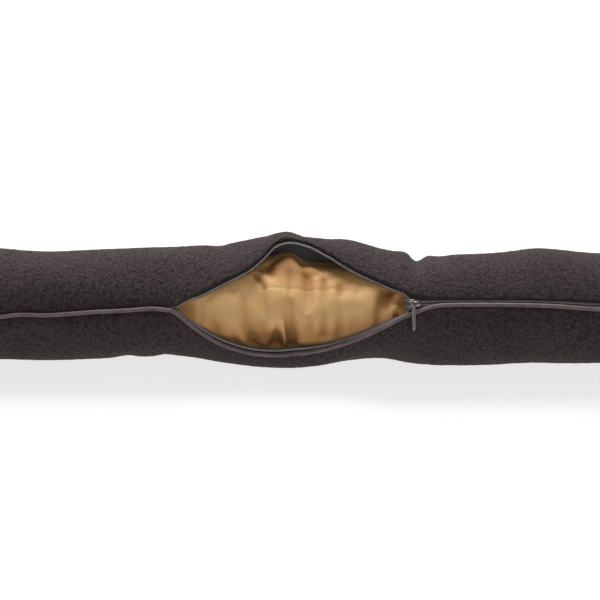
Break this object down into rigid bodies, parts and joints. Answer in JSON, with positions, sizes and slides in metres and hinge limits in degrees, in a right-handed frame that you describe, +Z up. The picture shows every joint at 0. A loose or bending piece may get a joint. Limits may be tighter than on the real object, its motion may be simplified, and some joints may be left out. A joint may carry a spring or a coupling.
{
  "type": "draught excluder",
  "caption": "Long fleece draught excluder lying on the floor, with a piped front seam and a zip drawn partly open over its filled inner bag.",
  "frame": {"origin": "on the floor, under the middle of the excluder's length and under its filled section", "axes": "+X along the excluder, to the right as the zip is faced; -Y towards the zip; +Z up from the floor"},
  "size_m": [0.9, 0.1322, 0.1108],
  "materials": {
    "fleece": "short pebbled fleece pile, charcoal brown, matt",
    "casing": "smooth tan cotton sateen with a soft sheen",
    "piping": "smooth dark taupe bias binding with a satin sheen",
    "zip_tape": "woven dark brown tape with a grey coil along its edge",
    "zip_metal": "smooth dark grey metal"
  },
  "bodies": {
    "root": {"cover": "fleece", "inner_bag": "casing", "piping": "piping", "zip_tape_upper": "zip_tape", "zip_tape_lower": "zip_tape", "zip_slider": "zip_metal", "zip_pull": "zip_metal"}
  },
  "joints": []
}
